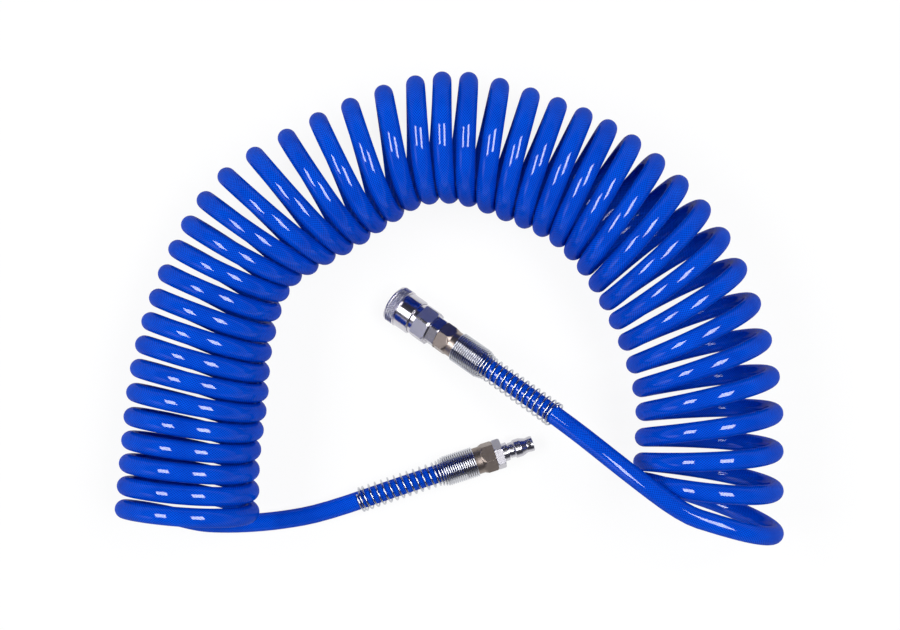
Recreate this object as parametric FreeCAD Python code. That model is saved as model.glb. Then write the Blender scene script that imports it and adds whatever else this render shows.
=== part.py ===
import FreeCAD, Part
import math
import os
from FreeCAD import Vector

# Coiled air hose lying on its side in an arch, with a ball-lock coupler on one
# end and a plug on the other. Millimetres, Z up, the floor is Z = 0.

# Hose
HOSE_OD = 11.5
HOSE_BORE = 7.5
FLAT_DEPTH = 0.5            # how far the curls are pressed flat where they rest
LEAD = HOSE_OD / 4          # straight run at each end of the coil

# Arch that the curls follow: curl number, X and Y of the coil's axis, the way
# the curl faces in degrees, the radius of the curl at the hose's centre, and how
# far the curl's foot stands ahead of its head along the arch
ARCH = (
    (-0.25, -160, -125, 83, 38.5, -1.0),
    (3, -158, -83, 80, 37.0, 1.0),
    (6, -153, -43, 74, 37.5, 0.5),
    (9, -146, -4, 67, 35.0, 1.5),
    (12, -131, 35, 58, 34.0, 5.0),
    (14, -110, 57, 47, 37.5, 4.5),
    (16, -82, 75, 32, 37.0, 5.5),
    (18, -53, 92, 17, 35.5, 5.5),
    (20, -22, 106, 2, 34.5, 4.0),
    (22, 6, 108, -5, 35.0, 4.5),
    (24, 36, 100, -17, 35.5, 5.5),
    (28, 89, 75, -33, 36.5, 4.0),
    (32, 132, 25, -55, 39.5, -1.0),
    (36, 156, -43, -79, 39.0, 2.0),
    (39, 157, -100, -97, 40.0, 1.5),
    (40.25, 158, -123, -111, 41.0, 0.0),
)
FIRST_CURL = -0.25          # starts underneath, on the floor
LAST_CURL = 40.25           # ends on top, over the curl before it
COIL_SECTION_COUNT = 8      # lengths that the coil's solid is made in, end face to end face

# Coupler: where its mouth is, which way the hose leaves it, and how steep
COUPLER_X = -35.0
COUPLER_Y = 8.0
COUPLER_HEADING = -34.7
COUPLER_TILT = 17.5

# Plug: where its tip is, which way the hose leaves it, and how steep
PLUG_X = 52.1
PLUG_Y = -80.7
PLUG_HEADING = 197.4
PLUG_TILT = 4.0

# Free stretches of hose, as corners from the coil to the fitting. The first
# run carries straight on from the coil, the last lies on the fitting's axis.
COUPLER_FIRST_RUN = 20.0
COUPLER_ROUTE = (
    (102.0, -90.3, 80.0),
    (74.0, -68.0, 58.5),
)
COUPLER_LAST_RUN = 40.0
PLUG_FIRST_RUN = 27.0
PLUG_ROUTE = (
    (-109.0, -131.0, 5.5),
    (-79.0, -124.4, 8.2),
)
PLUG_LAST_RUN = 48.0

# Hose end, the same on both fittings
BARB_LENGTH = 14.0
BARB_RIDGES = 3
BARB_GRIP = 0.35            # how far each ridge bites into the hose's bore
BARB_BORE = 5.0
NECK_LENGTH = 6.2
NECK_R = 7.4                # thread that the nut turns on
NUT_AF = 17.0
NUT_LENGTH = 12.2
NUT_CHAMFER = 3.2
NUT_COLLAR = 2.4            # round stretch behind the nut's flats
SPIGOT_LENGTH = 8.0
HOSE_CLEAR = 0.1

# Spring guard round the hose behind each nut
GUARD_WIRE = 1.3
GUARD_CLOSED_R = 9.1        # to the middle of the wire
GUARD_OPEN_R = 7.5
GUARD_CLOSED_PITCH = 1.75
GUARD_OPEN_PITCH = 4.3
GUARD_CLOSED_TURNS = 11
GUARD_CONE_TURNS = 2
GUARD_OPEN_TURNS = 11
GUARD_END_TURNS = 1.5

# Coupler body, along its axis from the mouth of the sleeve
BODY_FRONT = 0.4
BODY_R = 9.0
BORE_R = 6.05
BORE_CHAMFER = 0.6
GUIDE_END = 5.2             # the bore is a little wider from here past the balls
BALL_ZONE_R = 6.3
BALL_ZONE_END = 10.2
CHAMBER_START = 18.0
CHAMBER_R = 7.3
COLLAR_START = 17.6
COLLAR_R = BODY_R + 1.3
BODY_HEX_START = 21.1
BODY_HEX_END = 30.9
BODY_AF = 2 * (COLLAR_R + 0.2)
BODY_HEX_TURN = -2.0
HEX_CHAMFER = 0.9
STUB_LENGTH = 4.3
STUB_R = 8.0

# Sleeve, and the ball lock that it works
SLEEVE_END = 18.3
SLEEVE_SPRING_ROOM_R = BODY_R + 1.4
SLEEVE_R = SLEEVE_SPRING_ROOM_R + 1.25
SLEEVE_CHAMFER = 1.6
KNURL_R = SLEEVE_R + 0.6
KNURL_END = 7.9
GROOVE_R = SLEEVE_R - 0.3
GROOVE_WIDTH = 0.7
SLEEVE_TRAVEL = 2.5
SLIDE_CLEAR = 0.05
SLEEVE_SPRING_START = 10.6
SLEEVE_SPRING_WIRE = 0.8
SLEEVE_SPRING_TURNS = 4
BALL_REACH = 1.05           # how far a locked ball stands into the bore
BALL_R = (BODY_R - BORE_R + BALL_REACH) / 2
BALL_COUNT = 6
BALL_AT = 7.6
BALL_LIFT = 1.0
BALL_CLEAR = 0.05
RING_START = 1.0
RING_THICK = 0.8
RING_GROOVE_R = BODY_R - 0.4
RING_R = BODY_R + 0.7
RING_GAP = 30.0             # degrees that the snap ring is open
RING_ROOM = 0.25
SLEEVE_FRONT_R = RING_R + RING_ROOM + 0.65
FLANGE_THICK = 1.0

# Valve and its seals
PACKING_THICK = 2.4
PACKING_R = 4.8
VALVE_NOSE_START = 18.1
VALVE_NOSE_R = 4.3
VALVE_NOSE_WALL = 1.0
VALVE_PORTS = 4
VALVE_PORT_WIDTH = 2.4
VALVE_DISC_START = 21.2
VALVE_DISC_R = 6.2
VALVE_DISC_THICK = 1.0
VALVE_FINS = 3
VALVE_FIN_THICK = 1.6
VALVE_FIN_LENGTH = 1.4
VALVE_FIN_CLEAR = 0.1
VALVE_SEAL_THICK = 0.7
VALVE_SEAL_CLEAR = 0.1
VALVE_BOSS_R = 3.2
VALVE_BOSS_LENGTH = 1.8
VALVE_TRAVEL = 3.8
VALVE_SPRING_WIRE = 0.8
VALVE_SPRING_R = 4.1
VALVE_SPRING_TURNS = 4.5

# Hose adapter behind the coupler body
ADAPTER_AF = 17.0
ADAPTER_HEX_LENGTH = 6.9
ADAPTER_HEX_TURN = -6.5
SPRING_WELL_R = 4.9
SPRING_WELL_LENGTH = 7.4
O_RING_WIRE = 1.0
O_RING_ROOM = 1.3
O_RING_BACK = 0.3
COUPLER_NUT_TURN = -9.0

# Plug, along its axis from its tip
TIP_R = 4.9
TIP_END = 1.8
WAIST_R = 4.6
WAIST_START = 3.6
WAIST_END = 4.4
BULGE_R = 5.9
BULGE_START = 8.2
BULGE_END = 12.0
LOCK_R = 4.95
LOCK_START = 12.9
LOCK_END = 15.4
SLOT_R = 4.5
SLOT_END = 16.2
SHANK_R = 5.85
SHANK_START = 16.5
PLUG_HEX_START = 20.0
PLUG_HEX_LENGTH = 5.2
PLUG_HEX_TURN = 20.7
PLUG_NUT_TURN = -11.0
PLUG_BORE = 6.5
PLUG_BORE_DEPTH = 22.0

HOSE_R = HOSE_OD / 2
UP = Vector(0, 0, 1)


def unit(v):
    return v * (1.0 / v.Length)


def heading(degrees):
    a = math.radians(degrees)
    return Vector(math.cos(a), math.sin(a), 0)


def smooth(column, at):
    """Value of one column of ARCH at a curl number, on a smooth curve through its rows."""
    known = [(row[0], row[column]) for row in ARCH]
    slopes = [(b[1] - a[1]) / (b[0] - a[0]) for a, b in zip(known, known[1:])]
    bends = [slopes[0]] + [(a + b) / 2 for a, b in zip(slopes, slopes[1:])] + [slopes[-1]]
    last = len(known) - 1
    if at <= known[0][0]:
        return known[0][1] + bends[0] * (at - known[0][0])
    if at >= known[last][0]:
        return known[last][1] + bends[last] * (at - known[last][0])
    i = max(k for k in range(last) if known[k][0] <= at)
    span = known[i + 1][0] - known[i][0]
    t = (at - known[i][0]) / span
    start = (1 + 2 * t) * (1 - t) ** 2 * known[i][1] + t * (1 - t) ** 2 * span * bends[i]
    end = t * t * (3 - 2 * t) * known[i + 1][1] + t * t * (t - 1) * span * bends[i + 1]
    return start + end


def on_coil(curl):
    """Centre of the hose at a curl number: whole numbers are the outer side of the arch, quarters the top."""
    axis = Vector(smooth(1, curl), smooth(2, curl), 0)
    faces = heading(smooth(3, curl))
    outward = UP.cross(faces)
    radius = smooth(4, curl)
    angle = 2 * math.pi * curl
    low = HOSE_R - FLAT_DEPTH
    rise = UP * (low + radius + radius * math.sin(angle))
    ahead = faces * (smooth(5, curl) * (1 - math.sin(angle)) / 2)
    return axis + outward * (radius * math.cos(angle)) + rise + ahead


def tangent(curve, at, step=0.001):
    return unit(curve(at + step) - curve(at - step))


def arc_edge(start, along, end):
    """Arc from start to end that leaves start in the direction along."""
    chord = end - start
    turn = along.getAngle(chord)
    if turn < 1e-4:
        return Part.LineSegment(start, end).toShape()
    side = unit(along - unit(chord) * (along.dot(unit(chord))))
    middle = (start + end) * 0.5 + side * (chord.Length / 2 * math.tan(turn / 2))
    return Part.Arc(start, middle, end).toShape()


def biarc(p0, t0, p1, t1):
    """Two arcs that join p0 to p1 and keep both directions."""
    across = p1 - p0
    both = t0 + t1
    a = 2 * (1 - t0.dot(t1))
    b = 2 * across.dot(both)
    c = -across.dot(across)
    reach = (-b + math.sqrt(b * b - 4 * a * c)) / (2 * a) if a > 1e-9 else -c / b
    joint = (p0 + t0 * reach + p1 - t1 * reach) * 0.5
    direction = unit((p1 - t1 * reach) - (p0 + t0 * reach))
    return [arc_edge(p0, t0, joint), arc_edge(joint, direction, p1)]


def wound_edges(curve, first, last, lead):
    """Arcs along a wound curve, half a turn to each pair, with a straight lead at both ends."""
    steps = max(1, round((last - first) * 2))
    marks = [first + (last - first) * k / steps for k in range(steps + 1)]
    points = [curve(m) for m in marks]
    ways = [tangent(curve, m) for m in marks]
    edges = [Part.LineSegment(points[0] - ways[0] * lead, points[0]).toShape()]
    for k in range(steps):
        edges += biarc(points[k], ways[k], points[k + 1], ways[k + 1])
    edges.append(Part.LineSegment(points[-1], points[-1] + ways[-1] * lead).toShape())
    return edges


def coil_sections():
    """Arcs of the coil in equal lengths that part on top of a curl."""
    edges = wound_edges(on_coil, FIRST_CURL, LAST_CURL, LEAD)
    breaks = [0]
    for k in range(1, COIL_SECTION_COUNT):
        share = FIRST_CURL + (LAST_CURL - FIRST_CURL) * k / COIL_SECTION_COUNT
        on_top = round(share - 0.25) + 0.25
        breaks.append(1 + 2 * round((on_top - FIRST_CURL) * 2))
    breaks.append(len(edges))
    return [edges[a:b] for a, b in zip(breaks, breaks[1:])]


def least_gap(curve, first, last, thickness):
    """Least gap of a wound tube to itself, measured on points half a turn or more apart."""
    per_turn = 24
    count = int((last - first) * per_turn)
    points = [curve(first + k / per_turn) for k in range(count + 1)]
    near = per_turn // 2
    far = per_turn * 2
    least = min(
        (points[i] - points[j]).Length
        for i in range(len(points))
        for j in range(i + near, min(i + far, len(points)))
    )
    return least - thickness


class Route:
    """Straight runs through corners, rounded by arcs, with places on it found by length."""

    def __init__(self, corners):
        self.spans = []
        self.radii = []
        at = corners[0]
        share = 0.9                     # the first run has an arc at one end only
        for before, corner, after in zip(corners, corners[1:], corners[2:]):
            run_in = unit(corner - before)
            run_out = unit(after - corner)
            turn = run_in.getAngle(run_out)
            cut = min((corner - before).Length * share, (after - corner).Length * 0.45)
            share = 0.45
            self.radii.append(cut / math.tan(turn / 2))
            start = corner - run_in * cut
            self.spans.append(("line", at, run_in, (start - at).Length, None))
            centre = start + unit(run_out - run_in * run_in.dot(run_out)) * self.radii[-1]
            self.spans.append(("arc", start, run_in, self.radii[-1] * turn, centre))
            at = corner + run_out * cut
        way = unit(corners[-1] - corners[-2])
        self.spans.append(("line", at, way, (corners[-1] - at).Length, None))
        self.length = sum(span[3] for span in self.spans)

    def place(self, along):
        """Point and direction at a length along the route."""
        for kind, start, way, length, centre in self.spans:
            if along <= length or kind == "line" and start is self.spans[-1][1]:
                break
            along -= length
        if kind == "line":
            return start + way * along, way
        radius = (centre - start).Length
        angle = along / radius
        inward = unit(centre - start)
        point = centre - inward * (radius * math.cos(angle)) + way * (radius * math.sin(angle))
        return point, way * math.cos(angle) + inward * math.sin(angle)

    def edges(self):
        made = []
        for kind, start, way, length, centre in self.spans:
            if length < 1e-6:
                continue
            if kind == "line":
                made.append(Part.LineSegment(start, start + way * length).toShape())
            else:
                radius = (centre - start).Length
                angle = length / radius
                inward = unit(centre - start)
                half = centre - inward * (radius * math.cos(angle / 2)) + way * (radius * math.sin(angle / 2))
                end = centre - inward * (radius * math.cos(angle)) + way * (radius * math.sin(angle))
                made.append(Part.Arc(start, half, end).toShape())
        return made


def swept(edges, radius):
    """Solid rod of one radius along edges that follow each other."""
    wire = Part.Wire(edges)
    start = edges[0].valueAt(edges[0].FirstParameter)
    way = edges[0].tangentAt(edges[0].FirstParameter)
    ring = Part.Wire([Part.Circle(start, way, radius).toShape()])
    return wire.makePipeShell([ring], True, False)


def tube(edges):
    return swept(edges, HOSE_R).cut(swept(edges, HOSE_BORE / 2))


def above_floor(shape):
    """The shape without what would lie under the floor."""
    box = shape.BoundBox
    slab = Part.makeBox(
        box.XLength + 2 * HOSE_OD,
        box.YLength + 2 * HOSE_OD,
        HOSE_OD,
        Vector(box.XMin - HOSE_OD, box.YMin - HOSE_OD, -HOSE_OD),
    )
    return shape.cut(slab)


def turned(profile, degrees=360):
    """Solid of revolution about the local Z axis from (place along the axis, radius) points."""
    points = [Vector(r, 0, s) for s, r in profile]
    face = Part.Face(Part.makePolygon(points + points[:1]))
    return face.revolve(Vector(0, 0, 0), UP, degrees)


def hexagon(start, length, flats, turn, front_chamfer, rear_chamfer):
    """Hexagonal bar along the local Z axis with its corners turned down to the flats at the ends."""
    corner = flats / math.sqrt(3)
    angles = [math.radians(turn + 60 * k) for k in range(6)]
    points = [Vector(corner * math.cos(a), corner * math.sin(a), start) for a in angles]
    bar = Part.Face(Part.makePolygon(points + points[:1])).extrude(Vector(0, 0, length))
    fall = 0.6                      # how steeply the corners are turned down
    end = start + length
    limit = turned((
        (start, 0),
        (start, corner - front_chamfer * fall),
        (start + front_chamfer, corner),
        (end - rear_chamfer, corner),
        (end, corner - rear_chamfer * fall),
        (end, 0),
    ))
    return bar.common(limit)


def bore(start, end, radius):
    return Part.makeCylinder(radius, end - start, Vector(0, 0, start), UP)


class Seat:
    """Where a fitting lies: its nose, the way its axis runs to the hose, and up."""

    def __init__(self, nose, way):
        self.nose = nose
        self.way = way
        self.up = unit(UP - way * way.dot(UP))
        side = way.cross(self.up)
        self.matrix = FreeCAD.Matrix(
            self.up.x, side.x, way.x, nose.x,
            self.up.y, side.y, way.y, nose.y,
            self.up.z, side.z, way.z, nose.z,
            0, 0, 0, 1,
        )

    def at(self, along):
        return self.nose + self.way * along

    def put(self, shape):
        placed = shape.copy()
        placed.Placement = FreeCAD.Placement(self.matrix)
        return placed


def slope(heading_degrees, tilt_degrees):
    a = math.radians(tilt_degrees)
    return heading(heading_degrees) * math.cos(a) + UP * math.sin(a)


def coupler_seat():
    """The coupler rests on the front edge of its knurled band."""
    a = math.radians(COUPLER_TILT)
    height = KNURL_R * math.cos(a) - SLEEVE_CHAMFER * math.sin(a)
    return Seat(Vector(COUPLER_X, COUPLER_Y, height), slope(COUPLER_HEADING, COUPLER_TILT))


def plug_seat():
    """The plug rests on the lowest corner of its nut."""
    a = math.radians(PLUG_TILT)
    corner = NUT_AF / math.sqrt(3)
    lowest = max(-math.cos(math.radians(PLUG_NUT_TURN + 60 * k)) for k in range(6)) * corner
    touch = PLUG_HEX_START + PLUG_HEX_LENGTH + HEX_CHAMFER
    height = lowest * math.cos(a) - touch * math.sin(a)
    return Seat(Vector(PLUG_X, PLUG_Y, height), slope(PLUG_HEADING, PLUG_TILT))


def tail_route(start, way, first_run, corners, last_run, seat, hose_end):
    """Route from the coil to the hose's end in a fitting."""
    points = [start, start + way * first_run]
    points += [Vector(*corner) for corner in corners]
    points += [seat.at(hose_end + last_run), seat.at(hose_end)]
    return Route(points)


# Hose ends: neck, barb, nut and guard, from the shoulder that the nut meets

def hose_stem(shoulder, inner_start):
    """Threaded neck and ridged barb, with the air way through both."""
    neck_end = shoulder + NECK_LENGTH
    ridge = BARB_LENGTH / BARB_RIDGES
    profile = [(shoulder, 0), (shoulder, NECK_R), (neck_end, NECK_R)]
    root = HOSE_BORE / 2
    profile.append((neck_end, root))
    for k in range(BARB_RIDGES):
        start = neck_end + k * ridge
        profile.append((start + ridge * 0.25, root + BARB_GRIP))
        profile.append((start + ridge, root))
    profile.append((neck_end + BARB_LENGTH, 0))
    return turned(profile).cut(bore(inner_start, neck_end + BARB_LENGTH + 1, BARB_BORE / 2))


def hose_nut(shoulder, turn):
    """Hexagonal nut with a round collar, and a spigot that the guard sits on."""
    flats_end = shoulder + NUT_LENGTH - NUT_COLLAR
    nut_end = shoulder + NUT_LENGTH
    inside = GUARD_CLOSED_R - GUARD_WIRE / 2 - SLIDE_CLEAR
    nut = hexagon(shoulder, NUT_LENGTH - NUT_COLLAR, NUT_AF, turn, HEX_CHAMFER, NUT_CHAMFER)
    collar_r = NUT_AF / 2 - SLIDE_CLEAR
    nut = nut.fuse(bore(flats_end - NUT_CHAMFER, nut_end, collar_r))
    nut = nut.fuse(bore(nut_end - 1, nut_end + SPIGOT_LENGTH, inside))
    hose_stop = shoulder + NECK_LENGTH
    nut = nut.cut(bore(shoulder - 1, hose_stop, NECK_R))
    return nut.cut(bore(hose_stop - 1, nut_end + SPIGOT_LENGTH + 1, HOSE_R + HOSE_CLEAR))


def guard_curve(route, from_end):
    """Wound curve of a guard round a route, turns counted from the nut; from_end is the nut's rear face."""
    closed = GUARD_CLOSED_TURNS
    cone = closed + GUARD_CONE_TURNS
    opened = cone + GUARD_OPEN_TURNS
    closed_length = closed * GUARD_CLOSED_PITCH
    cone_pitch = (GUARD_CLOSED_PITCH + GUARD_OPEN_PITCH) / 2
    cone_length = closed_length + GUARD_CONE_TURNS * cone_pitch
    opened_length = cone_length + GUARD_OPEN_TURNS * GUARD_OPEN_PITCH

    def curve(turns):
        radius = GUARD_OPEN_R
        if turns < closed:
            radius = GUARD_CLOSED_R
            along = turns * GUARD_CLOSED_PITCH
        elif turns < cone:
            part = (turns - closed) / GUARD_CONE_TURNS
            ease = part * part * (3 - 2 * part)
            radius = GUARD_CLOSED_R + (GUARD_OPEN_R - GUARD_CLOSED_R) * ease
            more = GUARD_OPEN_PITCH - GUARD_CLOSED_PITCH
            along = closed_length + GUARD_CONE_TURNS * part * (GUARD_CLOSED_PITCH + more * part / 2)
        elif turns < opened:
            along = cone_length + (turns - cone) * GUARD_OPEN_PITCH
        else:
            part = (turns - opened) / GUARD_END_TURNS
            less = GUARD_CLOSED_PITCH - GUARD_OPEN_PITCH
            along = opened_length + GUARD_END_TURNS * part * (GUARD_OPEN_PITCH + less * part / 2)
        centre, way = route.place(route.length - from_end - along)
        back = way * -1
        up = unit(UP - back * back.dot(UP))
        angle = 2 * math.pi * turns
        return centre + up * (radius * math.cos(angle)) + back.cross(up) * (radius * math.sin(angle))

    return curve


GUARD_TURNS = GUARD_CLOSED_TURNS + GUARD_CONE_TURNS + GUARD_OPEN_TURNS + GUARD_END_TURNS


def hose_guard(route, name):
    start = NUT_LENGTH - NECK_LENGTH + GUARD_WIRE / 2 + SLIDE_CLEAR
    curve = guard_curve(route, start)
    report_gap(name, least_gap(curve, 0, GUARD_TURNS, GUARD_WIRE))
    return swept(wound_edges(curve, 0, GUARD_TURNS, GUARD_WIRE), GUARD_WIRE / 2)


def report_gap(name, gap):
    print(f"{name}: least gap to itself {gap:.2f} mm")


def spring(start, end, radius, wire, turns, name):
    """Compression spring between two faces of a fitting, in its own frame."""
    first = start + wire / 2
    pitch = (end - start - wire) / turns

    def curve(at):
        angle = 2 * math.pi * at
        return Vector(radius * math.cos(angle), radius * math.sin(angle), first + pitch * at)

    report_gap(name, least_gap(curve, 0, turns, wire))
    return swept(wound_edges(curve, 0, turns, 0.01), wire / 2)


# Coupler

ADAPTER_SHOULDER = BODY_HEX_END + ADAPTER_HEX_LENGTH
STUB_START = BODY_HEX_END - STUB_LENGTH
BALL_HOME = BORE_R - BALL_REACH + BALL_R
BALL_SLOPE = BALL_LIFT / SLEEVE_TRAVEL


def ball_angles():
    return [360 / BALL_COUNT * k for k in range(BALL_COUNT)]


def coupler_body():
    corner = BODY_AF / math.sqrt(3)
    shell = turned((
        (BODY_FRONT, 0),
        (BODY_FRONT, BODY_R - BORE_CHAMFER),
        (BODY_FRONT + 0.4, BODY_R),
        (RING_START - 0.05, BODY_R),
        (RING_START - 0.05, RING_GROOVE_R),
        (RING_START + RING_THICK + 0.05, RING_GROOVE_R),
        (RING_START + RING_THICK + 0.05, BODY_R),
        (COLLAR_START, BODY_R),
        (COLLAR_START, COLLAR_R),
        (BODY_HEX_START + corner - COLLAR_R, COLLAR_R),
        (BODY_HEX_START + corner - COLLAR_R, 0),
    ))
    flats = hexagon(BODY_HEX_START, BODY_HEX_END - BODY_HEX_START, BODY_AF, BODY_HEX_TURN, 2, 2)
    body = shell.fuse(flats)
    body = body.cut(bore(BODY_FRONT - 1, CHAMBER_START + 1, BORE_R))
    body = body.cut(turned((
        (BODY_FRONT - 1, 0),
        (BODY_FRONT - 1, BORE_R + BORE_CHAMFER + 1),
        (BODY_FRONT + BORE_CHAMFER, BORE_R),
        (BODY_FRONT + BORE_CHAMFER, 0),
    )))
    body = body.cut(bore(GUIDE_END, BALL_ZONE_END, BALL_ZONE_R))
    body = body.cut(bore(CHAMBER_START, STUB_START + 1, CHAMBER_R))
    body = body.cut(bore(STUB_START, BODY_HEX_END + 1, STUB_R))
    for angle in ball_angles():
        body = body.cut(ball_hole(angle))
    return body


def ball_hole(angle):
    """Hole for one lock ball, narrowed at the bore so that the ball can't fall through."""
    inner = BALL_ZONE_R - 0.05
    rest_start = BALL_HOME - 0.15 * BALL_R
    narrow = math.sqrt(BALL_R ** 2 - (BALL_HOME - inner) ** 2) + BALL_CLEAR
    wide = BALL_R + BALL_CLEAR
    way = heading(angle)
    place = Vector(0, 0, BALL_AT)
    seat = Part.makeCone(narrow, wide, rest_start - inner, place + way * inner, way)
    rest = Part.makeCylinder(wide, BODY_R, place + way * rest_start, way)
    mouth = Part.makeCylinder(narrow, inner - 1, place + way, way)
    return seat.fuse(rest).fuse(mouth)


def lock_ball(angle):
    return Part.makeSphere(BALL_R, Vector(0, 0, BALL_AT) + heading(angle) * BALL_HOME)


def coupler_sleeve():
    """Sleeve with a cone inside that lets the balls out as the sleeve is pulled back."""
    land = BODY_R + SLIDE_CLEAR
    cone_at_ball = BALL_HOME + (BALL_R + BALL_CLEAR) * math.sqrt(1 + BALL_SLOPE ** 2)
    cone_end = BALL_AT + (cone_at_ball - land) / BALL_SLOPE
    cone_start = BALL_AT - SLEEVE_TRAVEL
    relief = cone_at_ball + BALL_LIFT
    flange_start = RING_START + RING_THICK + 2 * SLIDE_CLEAR
    flange_end = flange_start + FLANGE_THICK
    return turned((
        (0, RING_R + RING_ROOM),
        (0, SLEEVE_FRONT_R),
        (SLEEVE_CHAMFER * 0.4, SLEEVE_FRONT_R + (KNURL_R - SLEEVE_FRONT_R) * 0.7),
        (SLEEVE_CHAMFER, KNURL_R),
        (KNURL_END, KNURL_R),
        (KNURL_END + 0.2, GROOVE_R),
        (KNURL_END + GROOVE_WIDTH, GROOVE_R),
        (KNURL_END + GROOVE_WIDTH + 0.2, SLEEVE_R),
        (SLEEVE_END - 0.6, SLEEVE_R),
        (SLEEVE_END, SLEEVE_R - 0.6),
        (SLEEVE_END, SLEEVE_SPRING_ROOM_R),
        (SLEEVE_SPRING_START, SLEEVE_SPRING_ROOM_R),
        (SLEEVE_SPRING_START, land),
        (cone_end, land),
        (cone_start, relief),
        (flange_end, relief),
        (flange_end, land),
        (flange_start, land),
        (flange_start, RING_R + RING_ROOM),
    ))


def snap_ring():
    ring = turned((
        (RING_START, RING_GROOVE_R),
        (RING_START, RING_R),
        (RING_START + RING_THICK, RING_R),
        (RING_START + RING_THICK, RING_GROOVE_R),
    ), 360 - RING_GAP)
    return ring


def sleeve_spring():
    middle = (BODY_R + SLEEVE_SPRING_ROOM_R) / 2
    return spring(
        SLEEVE_SPRING_START, COLLAR_START, middle, SLEEVE_SPRING_WIRE, SLEEVE_SPRING_TURNS, "sleeve_spring"
    )


def packing_seal():
    """Rubber ring with a lip that closes on the tip of a plug."""
    end = CHAMBER_START + PACKING_THICK
    return turned((
        (CHAMBER_START, PACKING_R + 0.6),
        (CHAMBER_START, CHAMBER_R),
        (end, CHAMBER_R),
        (end, PACKING_R),
        (end - 0.8, PACKING_R),
    ))


def check_valve():
    """Poppet: a ported nose that a plug pushes, a disc that closes, and fins that guide it."""
    nose = bore(VALVE_NOSE_START, VALVE_DISC_START + 0.1, VALVE_NOSE_R)
    nose = nose.cut(bore(VALVE_NOSE_START - 1, VALVE_DISC_START, VALVE_NOSE_R - VALVE_NOSE_WALL))
    for k in range(VALVE_PORTS // 2):
        length = VALVE_DISC_START - VALVE_NOSE_START - 2
        port = Part.makeBox(
            2 * CHAMBER_R, VALVE_PORT_WIDTH, length,
            Vector(-CHAMBER_R, -VALVE_PORT_WIDTH / 2, VALVE_DISC_START - length - 0.6),
        )
        port.rotate(Vector(0, 0, 0), UP, 180 / (VALVE_PORTS // 2) * k + 45)
        nose = nose.cut(port)
    disc_end = VALVE_DISC_START + VALVE_DISC_THICK
    valve = nose.fuse(bore(VALVE_DISC_START, disc_end, VALVE_DISC_R))
    valve = valve.fuse(bore(disc_end - 0.1, disc_end + VALVE_BOSS_LENGTH, VALVE_BOSS_R))
    reach = bore(VALVE_DISC_START, VALVE_DISC_START + VALVE_FIN_LENGTH, CHAMBER_R - VALVE_FIN_CLEAR)
    for k in range(VALVE_FINS):
        fin = Part.makeBox(
            CHAMBER_R, VALVE_FIN_THICK, VALVE_FIN_LENGTH,
            Vector(VALVE_SPRING_R + 1, -VALVE_FIN_THICK / 2, VALVE_DISC_START),
        )
        fin.rotate(Vector(0, 0, 0), UP, 360 / VALVE_FINS * k)
        valve = valve.fuse(fin.common(reach))
    return valve


def valve_seal():
    start = VALVE_DISC_START - VALVE_SEAL_THICK
    ring = bore(start, VALVE_DISC_START, VALVE_DISC_R - 0.4)
    return ring.cut(bore(start - 1, VALVE_DISC_START + 1, VALVE_NOSE_R))


def valve_spring():
    return spring(
        VALVE_DISC_START + VALVE_DISC_THICK,
        STUB_START + SPRING_WELL_LENGTH,
        VALVE_SPRING_R, VALVE_SPRING_WIRE, VALVE_SPRING_TURNS, "valve_spring",
    )


def hose_adapter():
    """Screws into the coupler body and carries the hose: stub, flats, neck and barb."""
    groove_end = BODY_HEX_END - O_RING_BACK
    groove_r = STUB_R - O_RING_WIRE
    stub = turned((
        (STUB_START, 0),
        (STUB_START, STUB_R),
        (groove_end - O_RING_ROOM, STUB_R),
        (groove_end - O_RING_ROOM, groove_r),
        (groove_end, groove_r),
        (groove_end, STUB_R),
        (BODY_HEX_END, STUB_R),
        (BODY_HEX_END + 1, STUB_R),
        (BODY_HEX_END + 1, 0),
    ))
    flats = hexagon(BODY_HEX_END, ADAPTER_HEX_LENGTH, ADAPTER_AF, ADAPTER_HEX_TURN, HEX_CHAMFER, HEX_CHAMFER)
    well_end = STUB_START + SPRING_WELL_LENGTH
    adapter = stub.fuse(flats).fuse(hose_stem(ADAPTER_SHOULDER, well_end))
    adapter = adapter.cut(bore(STUB_START - 1, well_end, SPRING_WELL_R))
    return adapter.cut(bore(well_end - 1, ADAPTER_SHOULDER + 1, BARB_BORE / 2))


def adapter_o_ring():
    middle = BODY_HEX_END - O_RING_BACK - O_RING_ROOM / 2
    wire = O_RING_WIRE / 2
    return Part.makeTorus(STUB_R - wire, wire, Vector(0, 0, middle), UP)


# Plug

PLUG_SHOULDER = PLUG_HEX_START + PLUG_HEX_LENGTH


def plug_body():
    nose = turned((
        (0, 0),
        (0, TIP_R - 0.3),
        (0.3, TIP_R),
        (TIP_END, TIP_R),
        (WAIST_START, WAIST_R),
        (WAIST_END, WAIST_R),
        (BULGE_START, BULGE_R),
        (BULGE_END, BULGE_R),
        (LOCK_START, LOCK_R),
        (LOCK_END, LOCK_R),
        (LOCK_END, SLOT_R),
        (SLOT_END, SLOT_R),
        (SHANK_START, SHANK_R),
        (PLUG_HEX_START + 1, SHANK_R),
        (PLUG_HEX_START + 1, 0),
    ))
    flats = hexagon(PLUG_HEX_START, PLUG_HEX_LENGTH, NUT_AF, PLUG_HEX_TURN, HEX_CHAMFER, HEX_CHAMFER)
    body = nose.fuse(flats).fuse(hose_stem(PLUG_SHOULDER, PLUG_BORE_DEPTH))
    body = body.cut(bore(-1, PLUG_BORE_DEPTH, PLUG_BORE / 2))
    return body.cut(bore(PLUG_BORE_DEPTH - 1, PLUG_SHOULDER + 1, BARB_BORE / 2))


# Assembly

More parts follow.
